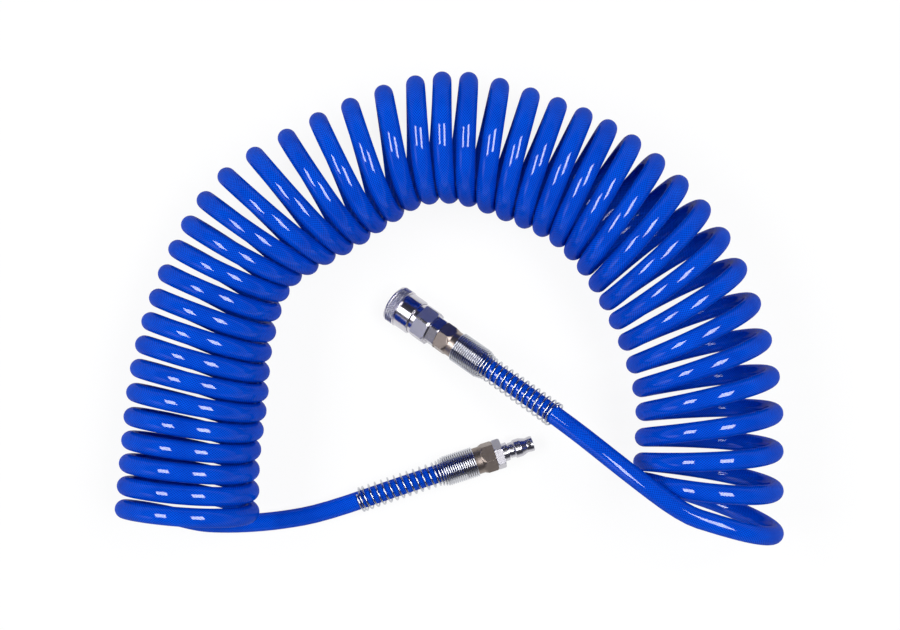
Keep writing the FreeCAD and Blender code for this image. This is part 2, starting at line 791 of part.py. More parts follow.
def coil_middle():
    """Middle of the plan that the whole hose covers; the model's origin lies there."""
    steps = 16
    first = math.floor(FIRST_CURL * steps)
    last = math.ceil(LAST_CURL * steps)
    points = [on_coil(k / steps) for k in range(first, last + 1)]
    xs = [p.x for p in points]
    ys = [p.y for p in points]
    return Vector((min(xs) + max(xs)) / 2, (min(ys) + max(ys)) / 2, 0)


def main():
    os.makedirs("parts", exist_ok=True)
    coupler = coupler_seat()
    plug = plug_seat()
    coupler_hose_end = ADAPTER_SHOULDER + NECK_LENGTH
    plug_hose_end = PLUG_SHOULDER + NECK_LENGTH

    way_in = tangent(on_coil, FIRST_CURL)
    way_out = tangent(on_coil, LAST_CURL)
    coil_in = on_coil(FIRST_CURL) - way_in * LEAD
    coil_out = on_coil(LAST_CURL) + way_out * LEAD
    plug_route = tail_route(
        coil_in, way_in * -1, PLUG_FIRST_RUN, PLUG_ROUTE, PLUG_LAST_RUN, plug, plug_hose_end
    )
    coupler_route = tail_route(
        coil_out, way_out, COUPLER_FIRST_RUN, COUPLER_ROUTE, COUPLER_LAST_RUN, coupler, coupler_hose_end
    )
    for name, route in (("plug", plug_route), ("coupler", coupler_route)):
        print(name, "tail radii", [round(r) for r in route.radii], "length", round(route.length, 1))

    sections = {f"hose_coil_{k + 1}": edges for k, edges in enumerate(coil_sections())}
    report_gap("hose coil", least_gap(on_coil, FIRST_CURL, LAST_CURL, HOSE_OD))
    pieces = {name: above_floor(tube(edges)) for name, edges in sections.items()}
    pieces |= {
        "hose_tail_plug": above_floor(tube(plug_route.edges())),
        "hose_tail_coupler": tube(coupler_route.edges()),
        "guard_spring_plug": hose_guard(plug_route, "guard_spring_plug"),
        "guard_spring_coupler": hose_guard(coupler_route, "guard_spring_coupler"),
        "coupler_body": coupler.put(coupler_body()),
        "coupler_sleeve": coupler.put(coupler_sleeve()),
        "sleeve_spring": coupler.put(sleeve_spring()),
        "snap_ring": coupler.put(snap_ring()),
        "packing_seal": coupler.put(packing_seal()),
        "check_valve": coupler.put(check_valve()),
        "valve_seal": coupler.put(valve_seal()),
        "valve_spring": coupler.put(valve_spring()),
        "hose_adapter": coupler.put(hose_adapter()),
        "adapter_o_ring": coupler.put(adapter_o_ring()),
        "hose_nut_coupler": coupler.put(hose_nut(ADAPTER_SHOULDER, COUPLER_NUT_TURN)),
        "plug_body": plug.put(plug_body()),
        "hose_nut_plug": plug.put(hose_nut(PLUG_SHOULDER, PLUG_NUT_TURN)),
    }
    for k, angle in enumerate(ball_angles()):
        pieces[f"lock_ball_{k + 1}"] = coupler.put(lock_ball(angle))

    origin = coil_middle()
    for name, shape in pieces.items():
        shape.translate(origin * -1)
        shape.exportStep(f"parts/{name}.step")
        print(f"{name}: solids {len(shape.Solids)}, volume {shape.Volume:.1f} mm3, valid {shape.isValid()}")
    section = math.pi * (HOSE_R ** 2 - (HOSE_BORE / 2) ** 2)
    lengths = {name: sum(edge.Length for edge in edges) for name, edges in sections.items()}
    print(f"hose coil: length {sum(lengths.values()):.1f} mm")
    lengths |= {"hose_tail_plug": plug_route.length, "hose_tail_coupler": coupler_route.length}
    for name, length in lengths.items():
        share = pieces[name].Volume / (section * length)
        print(f"{name}: length {length:.1f} mm, volume over section times length {share:.4f}")


main()
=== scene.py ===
# %% [markdown]
# # A coiled air hose
#
# This lesson dresses a finished CAD model: a blue braided air hose, wound into
# about forty curls and laid on its side in an arch, with a quick coupler on one
# loose end and a plug on the other. The CAD model fixes every size and every
# moving part. Blender adds what the solids leave plain: the glossy skin and the
# braid under it, the knurl, the rounded edges of the nuts and the light.

# %% Load the CAD model as a fixed frame
import bisect
import math

import bmesh
import bpy
from mathutils import Matrix, Vector


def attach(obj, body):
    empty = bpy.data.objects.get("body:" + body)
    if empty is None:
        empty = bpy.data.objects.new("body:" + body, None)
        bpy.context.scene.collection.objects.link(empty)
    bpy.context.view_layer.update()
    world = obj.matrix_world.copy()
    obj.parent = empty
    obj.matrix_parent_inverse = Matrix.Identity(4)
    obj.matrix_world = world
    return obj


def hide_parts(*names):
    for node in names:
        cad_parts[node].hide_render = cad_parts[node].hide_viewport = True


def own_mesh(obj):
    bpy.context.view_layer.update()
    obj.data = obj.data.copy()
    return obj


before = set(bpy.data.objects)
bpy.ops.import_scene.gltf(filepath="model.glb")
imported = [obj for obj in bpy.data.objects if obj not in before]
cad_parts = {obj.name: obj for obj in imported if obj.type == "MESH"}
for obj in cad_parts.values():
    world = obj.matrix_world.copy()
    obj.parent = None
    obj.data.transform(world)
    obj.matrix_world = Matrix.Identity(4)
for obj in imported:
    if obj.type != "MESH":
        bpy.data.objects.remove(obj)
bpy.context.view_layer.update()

# %% [markdown]
# ## Camera
#
# The photograph looks straight down on the bench, so a long lens hangs plumb
# over the hose. Blender's camera looks down its own -Z with no rotation, and its
# picture's width is 36 mm of sensor, so the focal length follows from how wide
# the hose is in the picture. The arch isn't quite centred in it.

# %% Hang the camera over the hose
CAMERA_HEIGHT = 1.1
FOCAL_LENGTH = 69.36
SENSOR_WIDTH = 36
PICTURE_CENTRE = (0.000638, -0.005573)

camera_data = bpy.data.cameras.new("camera")
camera_data.lens = FOCAL_LENGTH
camera_data.sensor_width = SENSOR_WIDTH
camera = bpy.data.objects.new("camera", camera_data)
camera.location = (*PICTURE_CENTRE, CAMERA_HEIGHT)
bpy.context.collection.objects.link(camera)
bpy.context.scene.camera = camera
bpy.context.scene.view_settings.view_transform = "Standard"

# %% [markdown]
# ## The route of the hose
#
# The hose is one long tube, so one NURBS spline carries all of it: a few control
# points from the plug to the coil, sixteen to each curl, and a few more to the
# coupler. The coil's axis lies in an arch. Stations along it say where the axis
# is, which way the curl faces, how large it is and how far its foot stands ahead
# of its head, and a smooth curve joins them. A curl is then a circle that is
# carried along as it turns.

# %% Stations of the arch, the same as in the CAD source, in millimetres
HOSE_DIAMETER = 11.5
FLAT_DEPTH = 0.5
ORIGIN = Vector((-0.638, 5.573, 0))
ARCH = (
    (-0.25, -160, -125, 83, 38.5, -1.0),
    (3, -158, -83, 80, 37.0, 1.0),
    (6, -153, -43, 74, 37.5, 0.5),
    (9, -146, -4, 67, 35.0, 1.5),
    (12, -131, 35, 58, 34.0, 5.0),
    (14, -110, 57, 47, 37.5, 4.5),
    (16, -82, 75, 32, 37.0, 5.5),
    (18, -53, 92, 17, 35.5, 5.5),
    (20, -22, 106, 2, 34.5, 4.0),
    (22, 6, 108, -5, 35.0, 4.5),
    (24, 36, 100, -17, 35.5, 5.5),
    (28, 89, 75, -33, 36.5, 4.0),
    (32, 132, 25, -55, 39.5, -1.0),
    (36, 156, -43, -79, 39.0, 2.0),
    (39, 157, -100, -97, 40.0, 1.5),
    (40.25, 158, -123, -111, 41.0, 0.0),
)
FIRST_CURL = -0.25
LAST_CURL = 40.25


def smooth(column, at):
    """One column of ARCH at a curl number, on a smooth curve through its rows."""
    known = [(row[0], row[column]) for row in ARCH]
    slopes = [(b[1] - a[1]) / (b[0] - a[0]) for a, b in zip(known, known[1:])]
    bends = [slopes[0]] + [(a + b) / 2 for a, b in zip(slopes, slopes[1:])] + [slopes[-1]]
    last = len(known) - 1
    if at <= known[0][0]:
        return known[0][1] + bends[0] * (at - known[0][0])
    if at >= known[last][0]:
        return known[last][1] + bends[last] * (at - known[last][0])
    i = max(k for k in range(last) if known[k][0] <= at)
    span = known[i + 1][0] - known[i][0]
    t = (at - known[i][0]) / span
    start = (1 + 2 * t) * (1 - t) ** 2 * known[i][1] + t * (1 - t) ** 2 * span * bends[i]
    end = t * t * (3 - 2 * t) * known[i + 1][1] + t * t * (t - 1) * span * bends[i + 1]
    return start + end


def on_coil(curl, swell=1.0):
    """Centre of the hose at a curl number; swell makes the curl's radius larger."""
    faces = math.radians(smooth(3, curl))
    outward = Vector((-math.sin(faces), math.cos(faces), 0))
    radius = smooth(4, curl)
    angle = 2 * math.pi * curl
    middle = Vector((smooth(1, curl), smooth(2, curl), HOSE_DIAMETER / 2 - FLAT_DEPTH + radius))
    ahead = Vector((math.cos(faces), math.sin(faces), 0)) * smooth(5, curl) * (1 - math.sin(angle)) / 2
    return middle + (outward * math.cos(angle) + Vector((0, 0, math.sin(angle)))) * radius * swell + ahead


# %% [markdown]
# A quadratic NURBS spline runs inside its control points: round a circle of
# sixteen points it comes in by about 1.5 percent. The coil's points stand out by
# that much, so that the tube ends up the right size. The photograph shows the
# first curl's foot a little ahead of the coil, so its first points are moved there.

# %% One spline from plug to coupler
POINTS_PER_CURL = 16
POINTS_OUT = 1 + 0.75 * (1 / math.cos(math.pi / POINTS_PER_CURL) - 1)
MM = 0.001


def seat(nose, heading_degrees, tilt_degrees):
    """Where a fitting lies: its nose, the way its axis runs to the hose, up and across."""
    heading = math.radians(heading_degrees)
    tilt = math.radians(tilt_degrees)
    way = Vector((math.cos(heading) * math.cos(tilt), math.sin(heading) * math.cos(tilt), math.sin(tilt)))
    up = (Vector((0, 0, 1)) - way * way.z).normalized()
    return Vector(nose) - ORIGIN, way, up, way.cross(up)


COUPLER = seat((-35.0, 8.0, 11.202), -34.7, 17.5)
PLUG = seat((52.1, -80.7, 7.791), 197.4, 4.0)
COUPLER_HOSE_END = 44.0
PLUG_HOSE_END = 31.4
COUPLER_STRAIGHT = 40.0
PLUG_STRAIGHT = 48.0
COIL_STRAIGHT = 20.0
FOOT_AHEAD = 4.5
FOOT_POINTS = 6


def hose_points():
    """Control points of the hose from the plug to the coupler, in metres."""
    plug_nose, plug_way = PLUG[:2]
    coupler_nose, coupler_way = COUPLER[:2]
    low = on_coil(FIRST_CURL)
    top = on_coil(LAST_CURL)
    way_out = (top - on_coil(LAST_CURL - 0.001)).normalized()
    lead = HOSE_DIAMETER / 4
    points = [
        plug_nose + plug_way * PLUG_HOSE_END + ORIGIN,
        plug_nose + plug_way * (PLUG_HOSE_END + PLUG_STRAIGHT) + ORIGIN,
        Vector((-79.0, -124.4, 8.2)),
        Vector((-106.0, -129.6, 5.5)),
        Vector((-130.0, -131.7, low.z)),
        Vector((-150.0, -131.7, low.z)),
    ]
    count = int((LAST_CURL - FIRST_CURL) * POINTS_PER_CURL)
    for k in range(count + 1):
        foot = max(0.0, 1 - k / FOOT_POINTS) ** 2 * FOOT_AHEAD
        swell = POINTS_OUT if 0 < k < count else 1.0
        points.append(on_coil(FIRST_CURL + k / POINTS_PER_CURL, swell) - Vector((0, foot, 0)))
    points += [
        top + way_out * lead,
        top + way_out * (lead + COIL_STRAIGHT),
        Vector((102.0, -90.3, 80.0)),
        Vector((74.0, -68.0, 58.5)),
        coupler_nose + coupler_way * (COUPLER_HOSE_END + COUPLER_STRAIGHT) + ORIGIN,
        coupler_nose + coupler_way * COUPLER_HOSE_END + ORIGIN,
    ]
    return [(p - ORIGIN) * MM for p in points]


route_data = bpy.data.curves.new("hose_route", "CURVE")
route_data.dimensions = "3D"
route_data.resolution_u = 4
spline = route_data.splines.new("NURBS")
control_points = hose_points()
spline.points.add(len(control_points) - 1)
for point, place in zip(spline.points, control_points):
    point.co = (*place, 1)
spline.order_u = 3
spline.use_endpoint_u = True
print("hose control points:", len(control_points))

# %% [markdown]
# Blender can turn the bare spline into a line of points. The tube, the braid and
# the wire guards are all built on that line, so they can't drift apart.

# %% Read the route as a line of points
route_object = bpy.data.objects.new("hose_route", route_data)
bpy.context.collection.objects.link(route_object)
bpy.context.view_layer.update()
line_mesh = bpy.data.meshes.new_from_object(route_object.evaluated_get(bpy.context.evaluated_depsgraph_get()))
route = [v.co.copy() for v in line_mesh.vertices]
bpy.data.objects.remove(route_object)
along = [0.0]
for a, b in zip(route, route[1:]):
    along.append(along[-1] + (b - a).length)
hose_length = along[-1]
print("route points:", len(route), "hose length", round(hose_length, 3), "m")


def frames(points):
    """Direction and a slowly turning side at each point, so that a tube doesn't twist."""
    ways = [(b - a).normalized() for a, b in zip([points[0]] + points[:-1], points[1:] + [points[-1]])]
    side = ways[0].orthogonal().normalized()
    result = []
    for way in ways:
        side = (side - way * side.dot(way)).normalized()
        result.append((way, side))
    return result


def on_route(distance):
    """Point, direction and side of the hose at a distance from the plug's end, in metres."""
    i = min(max(bisect.bisect_right(along, distance) - 1, 0), len(route) - 2)
    t = (distance - along[i]) / (along[i + 1] - along[i])
    way = route_frames[i][0].lerp(route_frames[i + 1][0], t).normalized()
    side = route_frames[i][1].lerp(route_frames[i + 1][1], t)
    return route[i].lerp(route[i + 1], t), way, (side - way * side.dot(way)).normalized()


route_frames = frames(route)

# %% [markdown]
# ## The tube
#
# A bevelled curve would do, but a mesh lets each ring carry two numbers for the
# material: how far along the hose it is, and how far round. Kept as a UV map,
# they draw the braid at its real size. The curls are pressed flat where they rest.

# %% Build the hose's skin on the route
RING_SIDES = 32
radius = HOSE_DIAMETER / 2 * MM


def tube_mesh(name, points, distances, tube_radius, sides):
    """A closed tube round a line of points, with the distance along it and round it as a UV map."""
    mesh = bpy.data.meshes.new(name)
    build = bmesh.new()
    uv = build.loops.layers.uv.new("along and round")
    rings = []
    for point, (way, side) in zip(points, frames(points)):
        across = way.cross(side)
        ring = []
        for k in range(sides):
            angle = 2 * math.pi * k / sides
            place = point + (side * math.cos(angle) + across * math.sin(angle)) * tube_radius
            place.z = max(place.z, 0.0)
            ring.append(build.verts.new(place))
        rings.append(ring)
    for i, (near, far) in enumerate(zip(rings, rings[1:])):
        for k in range(sides):
            face = build.faces.new((near[k], near[(k + 1) % sides], far[(k + 1) % sides], far[k]))
            face.smooth = True
            corners = ((i, k), (i, k + 1), (i + 1, k + 1), (i + 1, k))
            for loop, (ring, step) in zip(face.loops, corners):
                loop[uv].uv = (distances[ring] * 1000, step / sides)
    build.faces.new(reversed(rings[0]))
    build.faces.new(rings[-1])
    bmesh.ops.recalc_face_normals(build, faces=build.faces)
    build.to_mesh(mesh)
    build.free()
    return bpy.data.objects.new(name, mesh)


hose = tube_mesh("hose", route, along, radius, RING_SIDES)
bpy.context.collection.objects.link(hose)
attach(hose, "hose")
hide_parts(*[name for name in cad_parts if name.startswith(("hose_coil", "hose_tail"))])
print("hose faces:", len(hose.data.polygons))

# %% [markdown]
# ## Hose material
#
# The wall is blue polyurethane with a woven braid inside it. Two sets of threads
# wind round the hose in opposite directions, so in the flat map of the skin they
# are two sets of slanting lines. The braid tints the colour and stands in the
# surface as a very shallow relief, which frays the edges of the highlights.

# %% Helpers for materials
def node_group(name, inputs, outputs):
    """An empty shader group with named sockets, and its own input and output nodes."""
    group = bpy.data.node_groups.new(name, "ShaderNodeTree")
    for label, kind, value in inputs:
        socket = group.interface.new_socket(label, in_out="INPUT", socket_type=kind)
        socket.default_value = value
    for label, kind in outputs:
        group.interface.new_socket(label, in_out="OUTPUT", socket_type=kind)
    return group, group.nodes.new("NodeGroupInput"), group.nodes.new("NodeGroupOutput")


def plug_in(tree, value, socket):
    """Put a number, a colour or another node's socket into a socket."""
    if isinstance(value, bpy.types.NodeSocket):
        tree.links.new(value, socket)
    else:
        socket.default_value = value


def maths(tree, operation, *values, clamp=False):
    """One sum in a node tree: sockets or plain numbers in, a socket out."""
    node = tree.nodes.new("ShaderNodeMath")
    node.operation = operation
    node.use_clamp = clamp
    for socket, value in zip(node.inputs, values):
        plug_in(tree, value, socket)
    return node.outputs[0]


def blend_colour(tree, factor, first, second):
    """A colour between two others."""
    node = tree.nodes.new("ShaderNodeMix")
    node.data_type = "RGBA"
    plug_in(tree, factor, node.inputs[0])
    plug_in(tree, first, node.inputs[6])
    plug_in(tree, second, node.inputs[7])
    return node.outputs[2]


def place_group(tree, group, **values):
    """A shared group in a material, with this material's own numbers."""
    node = tree.nodes.new("ShaderNodeGroup")
    node.node_tree = group
    for label, value in values.items():
        plug_in(tree, value, node.inputs[label])
    return node


def new_material(name, **sockets):
    """A material whose shader has the given plain values."""
    material = bpy.data.materials.new(name)
    material.use_nodes = True
    tree = material.node_tree
    shader = tree.nodes["Principled BSDF"]
    for label, value in sockets.items():
        shader.inputs[label.replace("_", " ")].default_value = value
    return material, tree, shader


def raise_relief(tree, shader, height, depth):
    """Send a height through a Bump node to the shader. depth is in metres."""
    relief = tree.nodes.new("ShaderNodeBump")
    relief.inputs["Strength"].default_value = 1.0
    relief.inputs["Distance"].default_value = depth
    tree.links.new(height, relief.inputs["Height"])
    tree.links.new(relief.outputs["Normal"], shader.inputs["Normal"])


# %% A braid as a node group
BRAID_THREADS = 24.0
BRAID_PITCH = 38.0
BRAID_SHARPNESS = 3.0


def make_braid_group():
    """Two sets of threads that slant opposite ways over the skin's map."""
    group, given, result = node_group(
        "braid",
        [("Threads", "NodeSocketFloat", BRAID_THREADS), ("Pitch", "NodeSocketFloat", BRAID_PITCH)],
        [("Thread", "NodeSocketFloat"), ("Height", "NodeSocketFloat")],
    )
    place = group.nodes.new("ShaderNodeUVMap")
    place.uv_map = "along and round"
    split = group.nodes.new("ShaderNodeSeparateXYZ")
    group.links.new(place.outputs[0], split.inputs[0])
    turns = maths(group, "DIVIDE", split.outputs["X"], given.outputs["Pitch"])
    waves = []
    for lean in ("ADD", "SUBTRACT"):
        phase = maths(group, "MULTIPLY", maths(group, lean, turns, split.outputs["Y"]), given.outputs["Threads"])
        waves.append(maths(group, "COSINE", maths(group, "MULTIPLY", phase, 2 * math.pi)))
    crossing = maths(group, "MULTIPLY_ADD", maths(group, "MAXIMUM", waves[0], waves[1]), 0.5, 0.5)
    group.links.new(crossing, result.inputs["Height"])
    group.links.new(maths(group, "POWER", crossing, BRAID_SHARPNESS, clamp=True), result.inputs["Thread"])
    return group


braid_group = make_braid_group()
print("group:", braid_group.name)

# %% The hose's skin
CELL_BLUE = (0.0, 0.026, 0.37, 1)
THREAD_BLUE = (0.0, 0.115, 0.88, 1)
BRAID_DEPTH = 0.00004
GLOSS_FROM = 0.07
GLOSS_FADE = 0.3
GLOSS_LOST = 0.9


def make_skin():
    """Braided blue under a gloss that fades towards the hose's edges."""
    material, tree, shader = new_material(
        "hose skin", Roughness=0.34, Specular_IOR_Level=0.0,
        Coat_Roughness=0.03, Coat_IOR=1.6,
    )
    braid = place_group(tree, braid_group, Threads=BRAID_THREADS, Pitch=BRAID_PITCH)
    cloudy = tree.nodes.new("ShaderNodeTexNoise")
    cloudy.inputs["Scale"].default_value = 60.0
    place = tree.nodes.new("ShaderNodeTexCoord")
    tree.links.new(place.outputs["Object"], cloudy.inputs["Vector"])
    thread = maths(tree, "MULTIPLY", braid.outputs["Thread"], maths(tree, "ADD", cloudy.outputs[0], 0.35), clamp=True)
    tree.links.new(blend_colour(tree, thread, CELL_BLUE, THREAD_BLUE), shader.inputs["Base Color"])
    raise_relief(tree, shader, braid.outputs["Height"], BRAID_DEPTH)
    slope = tree.nodes.new("ShaderNodeLayerWeight")
    slope.inputs["Blend"].default_value = 0.5
    past = maths(tree, "SUBTRACT", slope.outputs["Facing"], GLOSS_FROM)
    steep = maths(tree, "DIVIDE", past, GLOSS_FADE, clamp=True)
    tree.links.new(maths(tree, "MULTIPLY_ADD", steep, -GLOSS_LOST, 1.0), shader.inputs["Coat Weight"])
    return material


hose.data.materials.append(make_skin())
print("material:", hose.data.materials[0].name)

# %% [markdown]
# ## Finishes of the fittings
#
# The fittings are steel with a thin bright plating over marks that the lathe left.
# Those marks are fine rings across the part's axis, so noise that depends only on
# the place along the axis draws them on every face at once. Handling rubs the
# edges first, and a mask of the sharp edges shows where. Both go on several
# metals, so each is a shader group.

# %% Lathe marks, rubbed edges and smudges as node groups
def make_turning_group():
    """Fine rings across an axis, as a height and as a slower tone."""
    group, given, result = node_group(
        "lathe marks",
        [("Axis", "NodeSocketVector", (0, 0, 1)), ("Rings per mm", "NodeSocketFloat", 4.0)],
        [("Height", "NodeSocketFloat"), ("Tone", "NodeSocketFloat")],
    )
    place = group.nodes.new("ShaderNodeTexCoord")
    dot = group.nodes.new("ShaderNodeVectorMath")
    dot.operation = "DOT_PRODUCT"
    group.links.new(place.outputs["Object"], dot.inputs[0])
    group.links.new(given.outputs["Axis"], dot.inputs[1])
    millimetres = maths(group, "MULTIPLY", dot.outputs["Value"], 1000.0)
    at = maths(group, "MULTIPLY", millimetres, given.outputs["Rings per mm"])
    for output, finer in (("Height", 1.0), ("Tone", 0.3)):
        rings = group.nodes.new("ShaderNodeTexNoise")
        rings.noise_dimensions = "1D"
        rings.inputs["Scale"].default_value = 1.0
        rings.inputs["Detail"].default_value = 3.0
        group.links.new(maths(group, "MULTIPLY", at, finer), rings.inputs["W"])
        group.links.new(rings.outputs[0], result.inputs[output])
    return group


def make_edge_group():
    """A patchy mask of the sharp edges."""
    group, given, result = node_group(
        "rubbed edges",
        [("Width", "NodeSocketFloat", 0.05), ("Scale", "NodeSocketFloat", 900.0)],
        [("Mask", "NodeSocketFloat")],
    )
    shape = group.nodes.new("ShaderNodeNewGeometry")
    raised = maths(group, "SUBTRACT", shape.outputs["Pointiness"], 0.52)
    sharp = maths(group, "DIVIDE", raised, given.outputs["Width"])
    patchy = group.nodes.new("ShaderNodeTexNoise")
    place = group.nodes.new("ShaderNodeTexCoord")
    group.links.new(place.outputs["Object"], patchy.inputs["Vector"])
    group.links.new(given.outputs["Scale"], patchy.inputs["Scale"])
    mask = maths(group, "MULTIPLY", maths(group, "MAXIMUM", sharp, 0.0), patchy.outputs[0], clamp=True)
    group.links.new(mask, result.inputs["Mask"])
    return group


def make_smudge_group():
    """A mask of cloudy patches."""
    group, given, result = node_group(
        "smudges", [("Scale", "NodeSocketFloat", 150.0)], [("Mask", "NodeSocketFloat")],
    )
    place = group.nodes.new("ShaderNodeTexCoord")
    cloud = group.nodes.new("ShaderNodeTexNoise")
    cloud.inputs["Detail"].default_value = 4.0
    group.links.new(place.outputs["Object"], cloud.inputs["Vector"])
    group.links.new(given.outputs["Scale"], cloud.inputs["Scale"])
    mask = maths(group, "MULTIPLY", maths(group, "SUBTRACT", cloud.outputs[0], 0.45), 4.0, clamp=True)
    group.links.new(mask, result.inputs["Mask"])
    return group


turning_group = make_turning_group()
edge_group = make_edge_group()
smudge_group = make_smudge_group()
print("groups:", turning_group.name, edge_group.name, smudge_group.name)

# %% Metals
FINE = 0.0000008
# KNURL_PAINTED_SHEEN is a painted sheen: a pale colour on the knurl's faces that stands in for lamp light scattered
# by its facets. GROOVE_PAINTED_SHADE is a painted shade on the knurl's groove floors.
KNURL_PAINTED_SHEEN = (0.95, 0.93, 0.97, 1)
GROOVE_PAINTED_SHADE = (0.12, 0.12, 0.15, 1)


def make_metal(name, colour, dull, axis=(0, 0, 1), rings=4.0, roughness=(0.10, 0.22), depth=0.000004, groove=0.0):
    """Plated metal with lathe marks across an axis. dull is its colour where it is smudged.

    groove is the depth in millimetres at which a knurl's groove floors are fully painted dark grey, a painted shade;
    its pressed faces are painted pale, a painted sheen.
    """
    material, tree, shader = new_material(name, Metallic=1.0)
    marks = place_group(tree, turning_group, Axis=tuple(axis), **{"Rings per mm": rings})
    worn = place_group(tree, edge_group, Width=0.06, Scale=900.0)
    smudged = place_group(tree, smudge_group, Scale=160.0)
    soft = maths(tree, "MULTIPLY", smudged.outputs["Mask"], 0.6)
    tone = blend_colour(tree, soft, colour, dull)
    pale = tuple(min(1.0, c * 1.15) for c in colour[:3]) + (1,)
    rubbed = blend_colour(tree, worn.outputs["Mask"], tone, pale)
    spread = maths(tree, "MULTIPLY_ADD", marks.outputs["Tone"], roughness[1] - roughness[0], roughness[0])
    raise_relief(tree, shader, marks.outputs["Height"], depth)
    if groove:
        pressed = tree.nodes.new("ShaderNodeAttribute")
        pressed.attribute_name = "pressed"
        deep = maths(tree, "DIVIDE", pressed.outputs["Fac"], groove, clamp=True)
        # Painted light on the knurl: its pressed faces are painted pale, a painted sheen, and its deepest groove
        # floors are painted dark grey, a painted shade.
        painted_sheen_colour = blend_colour(tree, maths(tree, "MULTIPLY", deep, 8.0, clamp=True), rubbed, KNURL_PAINTED_SHEEN)
        painted_groove_shade = maths(tree, "MULTIPLY_ADD", deep, 1.6, -0.6, clamp=True)
        tree.links.new(blend_colour(tree, painted_groove_shade, painted_sheen_colour, GROOVE_PAINTED_SHADE), shader.inputs["Base Color"])
        tree.links.new(maths(tree, "MULTIPLY_ADD", deep, 0.12, spread), shader.inputs["Roughness"])
    else:
        tree.links.new(rubbed, shader.inputs["Base Color"])
        tree.links.new(maths(tree, "MULTIPLY_ADD", soft, 0.08, spread), shader.inputs["Roughness"])
    return material


coupler_axis = COUPLER[1]
plug_axis = PLUG[1]
plug_plate = make_metal(
    "plug plate", (0.56, 0.55, 0.59, 1), (0.46, 0.45, 0.49, 1), plug_axis, 3.0, (0.16, 0.24), FINE,
)
sleeve_plate = make_metal(
    "sleeve plate", (0.60, 0.585, 0.63, 1), (0.50, 0.485, 0.53, 1), coupler_axis, groove=0.3,
)
coupler_plate = make_metal("coupler plate", (0.60, 0.585, 0.63, 1), (0.50, 0.485, 0.53, 1), coupler_axis)
plug_milled_plate = make_metal(
    "milled plug plate", (0.50, 0.49, 0.53, 1), (0.42, 0.41, 0.45, 1), plug_axis, 3.0, (0.28, 0.34), FINE,
)
milled_plate = make_metal(
    "milled plate", (0.56, 0.55, 0.59, 1), (0.46, 0.45, 0.49, 1), coupler_axis, 3.0, (0.38, 0.44), FINE,
)
adapter_plate = make_metal(
    "adapter plate", (0.42, 0.41, 0.45, 1), (0.35, 0.34, 0.38, 1), coupler_axis, 3.0, (0.22, 0.28), FINE,
)
coupler_nut_plate = make_metal(
    "coupler nut plate", (0.31, 0.26, 0.235, 1), (0.25, 0.21, 0.185, 1), coupler_axis, 3.0, (0.28, 0.36), FINE,
)
plug_nut_plate = make_metal(
    "plug nut plate", (0.27, 0.225, 0.20, 1), (0.21, 0.175, 0.155, 1), plug_axis, 3.0, (0.34, 0.42), FINE,
)
wire_zinc = make_metal(
    "spring wire", (0.52, 0.53, 0.57, 1), (0.42, 0.43, 0.48, 1), (0, 0, 1), 1.5, (0.08, 0.16), FINE,
)
ball_steel = make_metal(
    "ball steel", (0.70, 0.70, 0.72, 1), (0.60, 0.60, 0.62, 1), (0, 0, 1), 1.0, (0.05, 0.10), 0.000001,
)
valve_brass = make_metal(
    "valve brass", (0.80, 0.56, 0.22, 1), (0.55, 0.36, 0.14, 1), coupler_axis, 5.0, (0.18, 0.32),
)
print("metals:", sleeve_plate.name, plug_plate.name, wire_zinc.name, valve_brass.name)

# %% Rubber of the seals
def make_rubber():
    """Black rubber with duller patches."""
    material, tree, shader = new_material("seal rubber", Specular_IOR_Level=0.4)
    smudged = place_group(tree, smudge_group, Scale=700.0)
    tone = blend_colour(tree, smudged.outputs["Mask"], (0.012, 0.012, 0.013, 1), (0.030, 0.030, 0.032, 1))
    tree.links.new(tone, shader.inputs["Base Color"])
    tree.links.new(maths(tree, "MULTIPLY_ADD", smudged.outputs["Mask"], 0.2, 0.45), shader.inputs["Roughness"])
    raise_relief(tree, shader, smudged.outputs["Mask"], 0.00001)
    return material


seal_rubber = make_rubber()

# %% [markdown]
# ## Turned and milled parts
#
# Every fitting started as bar in a lathe, and some have six flats milled on it.
# One helper makes them all: it walks a profile, given as places along the axis
# and radii, and sets a ring of points at each step. Where flats are milled, a
# point goes no further out than the flat. The profile's corners are rounded
# first, because a real edge is never perfectly sharp, and it is that small round
# that catches the light. A bar that is thinner than the hexagon's corners keeps a
# narrow round strip, a land, between two flats.

# %% Helpers for turned and milled parts
RING_POINTS = 240
EDGE_ROUND = 0.15
SUPPORT = 0.07
CORNER_RUB = 0.04
SHARP_ANGLE = math.radians(28)
MILLED_MARGIN = 0.1


def rounded(profile, size):
    """A closed profile with each corner replaced by a short bend."""
    result = []
    count = len(profile)
    for i in range(count):
        a, b, c = (Vector(profile[(i + step) % count]) for step in (-1, 0, 1))
        cut = min(size, (b - a).length * 0.4, (c - b).length * 0.4)
        start, end = b + (a - b).normalized() * cut, b + (c - b).normalized() * cut
        if cut >= SUPPORT * 1.5:
            result.append(tuple(start + (a - b).normalized() * min(SUPPORT, (b - a).length * 0.08)))
        for t in (0.0, 0.25, 0.5, 0.75, 1.0):
            result.append(tuple(start * (1 - t) ** 2 + b * 2 * t * (1 - t) + end * t * t))
        if cut >= SUPPORT * 1.5:
            result.append(tuple(end + (c - b).normalized() * min(SUPPORT, (c - b).length * 0.08)))
    return result


def divided(profile, step):
    """A closed profile with extra points, so that no step is longer than step."""
    result = []
    for a, b in zip(profile, profile[1:] + profile[:1]):
        count = max(1, math.ceil(math.dist(a, b) / step))
        result += [(a[0] + (b[0] - a[0]) * k / count, a[1] + (b[1] - a[1]) * k / count) for k in range(count)]
    return result


